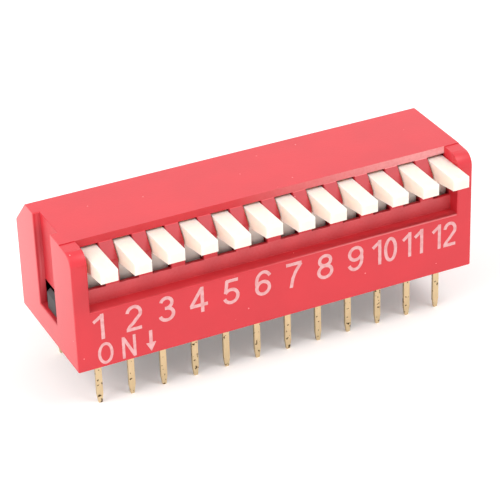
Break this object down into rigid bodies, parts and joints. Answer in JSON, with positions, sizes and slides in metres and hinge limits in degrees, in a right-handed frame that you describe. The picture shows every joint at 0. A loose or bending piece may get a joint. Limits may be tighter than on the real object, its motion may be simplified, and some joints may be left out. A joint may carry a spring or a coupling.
{
  "type": "dip switch",
  "caption": "Piano-style DIP switch: a row of white side levers in a red moulded housing with a bevelled top, on two rows of flat through-hole pins.",
  "frame": {"origin": "centre of the pin grid on the seating plane, in the underside of the base", "axes": "+X along the row of ways from the first to the last, -Y towards the levers, +Z away from the board"},
  "size_m": [0.032, 0.0128, 0.0135],
  "materials": {
    "housing_red": "moulded, satin",
    "base_black": "moulded, matte",
    "lever_white": "moulded, smooth",
    "wiper_gold": "gold-plated spring strip",
    "terminal_gold": "thin gold plate over brass, spotted"
  },
  "bodies": {
    "case": {"housing": "housing_red", "base": "base_black", "front_terminal_1": "terminal_gold", "front_terminal_2": "terminal_gold", "front_terminal_3": "terminal_gold", "front_terminal_4": "terminal_gold", "front_terminal_5": "terminal_gold", "front_terminal_6": "terminal_gold", "front_terminal_7": "terminal_gold", "front_terminal_8": "terminal_gold", "front_terminal_9": "terminal_gold", "front_terminal_10": "terminal_gold", "front_terminal_11": "terminal_gold", "front_terminal_12": "terminal_gold", "rear_terminal_1": "terminal_gold", "rear_terminal_2": "terminal_gold", "rear_terminal_3": "terminal_gold", "rear_terminal_4": "terminal_gold", "rear_terminal_5": "terminal_gold", "rear_terminal_6": "terminal_gold", "rear_terminal_7": "terminal_gold", "rear_terminal_8": "terminal_gold", "rear_terminal_9": "terminal_gold", "rear_terminal_10": "terminal_gold", "rear_terminal_11": "terminal_gold", "rear_terminal_12": "terminal_gold"},
    "lever_1": {"lever_1": "lever_white", "wiper_1": "wiper_gold"},
    "lever_2": {"lever_2": "lever_white", "wiper_2": "wiper_gold"},
    "lever_3": {"lever_3": "lever_white", "wiper_3": "wiper_gold"},
    "lever_4": {"lever_4": "lever_white", "wiper_4": "wiper_gold"},
    "lever_5": {"lever_5": "lever_white", "wiper_5": "wiper_gold"},
    "lever_6": {"lever_6": "lever_white", "wiper_6": "wiper_gold"},
    "lever_7": {"lever_7": "lever_white", "wiper_7": "wiper_gold"},
    "lever_8": {"lever_8": "lever_white", "wiper_8": "wiper_gold"},
    "lever_9": {"lever_9": "lever_white", "wiper_9": "wiper_gold"},
    "lever_10": {"lever_10": "lever_white", "wiper_10": "wiper_gold"},
    "lever_11": {"lever_11": "lever_white", "wiper_11": "wiper_gold"},
    "lever_12": {"lever_12": "lever_white", "wiper_12": "wiper_gold"}
  },
  "joints": [
    {"name": "lever_1_tilt", "type": "hinge", "parent": "case", "child": "lever_1", "pos_m": [-0.01385, -0.0022, 0.00695], "axis": [1, 0, 0], "range_deg": [0, 30]},
    {"name": "lever_2_tilt", "type": "hinge", "parent": "case", "child": "lever_2", "pos_m": [-0.01131, -0.0022, 0.00695], "axis": [1, 0, 0], "range_deg": [0, 30]},
    {"name": "lever_3_tilt", "type": "hinge", "parent": "case", "child": "lever_3", "pos_m": [-0.00877, -0.0022, 0.00695], "axis": [1, 0, 0], "range_deg": [0, 30]},
    {"name": "lever_4_tilt", "type": "hinge", "parent": "case", "child": "lever_4", "pos_m": [-0.00623, -0.0022, 0.00695], "axis": [1, 0, 0], "range_deg": [0, 30]},
    {"name": "lever_5_tilt", "type": "hinge", "parent": "case", "child": "lever_5", "pos_m": [-0.00369, -0.0022, 0.00695], "axis": [1, 0, 0], "range_deg": [0, 30]},
    {"name": "lever_6_tilt", "type": "hinge", "parent": "case", "child": "lever_6", "pos_m": [-0.00115, -0.0022, 0.00695], "axis": [1, 0, 0], "range_deg": [0, 30]},
    {"name": "lever_7_tilt", "type": "hinge", "parent": "case", "child": "lever_7", "pos_m": [0.00139, -0.0022, 0.00695], "axis": [1, 0, 0], "range_deg": [0, 30]},
    {"name": "lever_8_tilt", "type": "hinge", "parent": "case", "child": "lever_8", "pos_m": [0.00393, -0.0022, 0.00695], "axis": [1, 0, 0], "range_deg": [0, 30]},
    {"name": "lever_9_tilt", "type": "hinge", "parent": "case", "child": "lever_9", "pos_m": [0.00647, -0.0022, 0.00695], "axis": [1, 0, 0], "range_deg": [0, 30]},
    {"name": "lever_10_tilt", "type": "hinge", "parent": "case", "child": "lever_10", "pos_m": [0.00901, -0.0022, 0.00695], "axis": [1, 0, 0], "range_deg": [0, 30]},
    {"name": "lever_11_tilt", "type": "hinge", "parent": "case", "child": "lever_11", "pos_m": [0.01155, -0.0022, 0.00695], "axis": [1, 0, 0], "range_deg": [0, 30]},
    {"name": "lever_12_tilt", "type": "hinge", "parent": "case", "child": "lever_12", "pos_m": [0.01409, -0.0022, 0.00695], "axis": [1, 0, 0], "range_deg": [0, 30]}
  ]
}
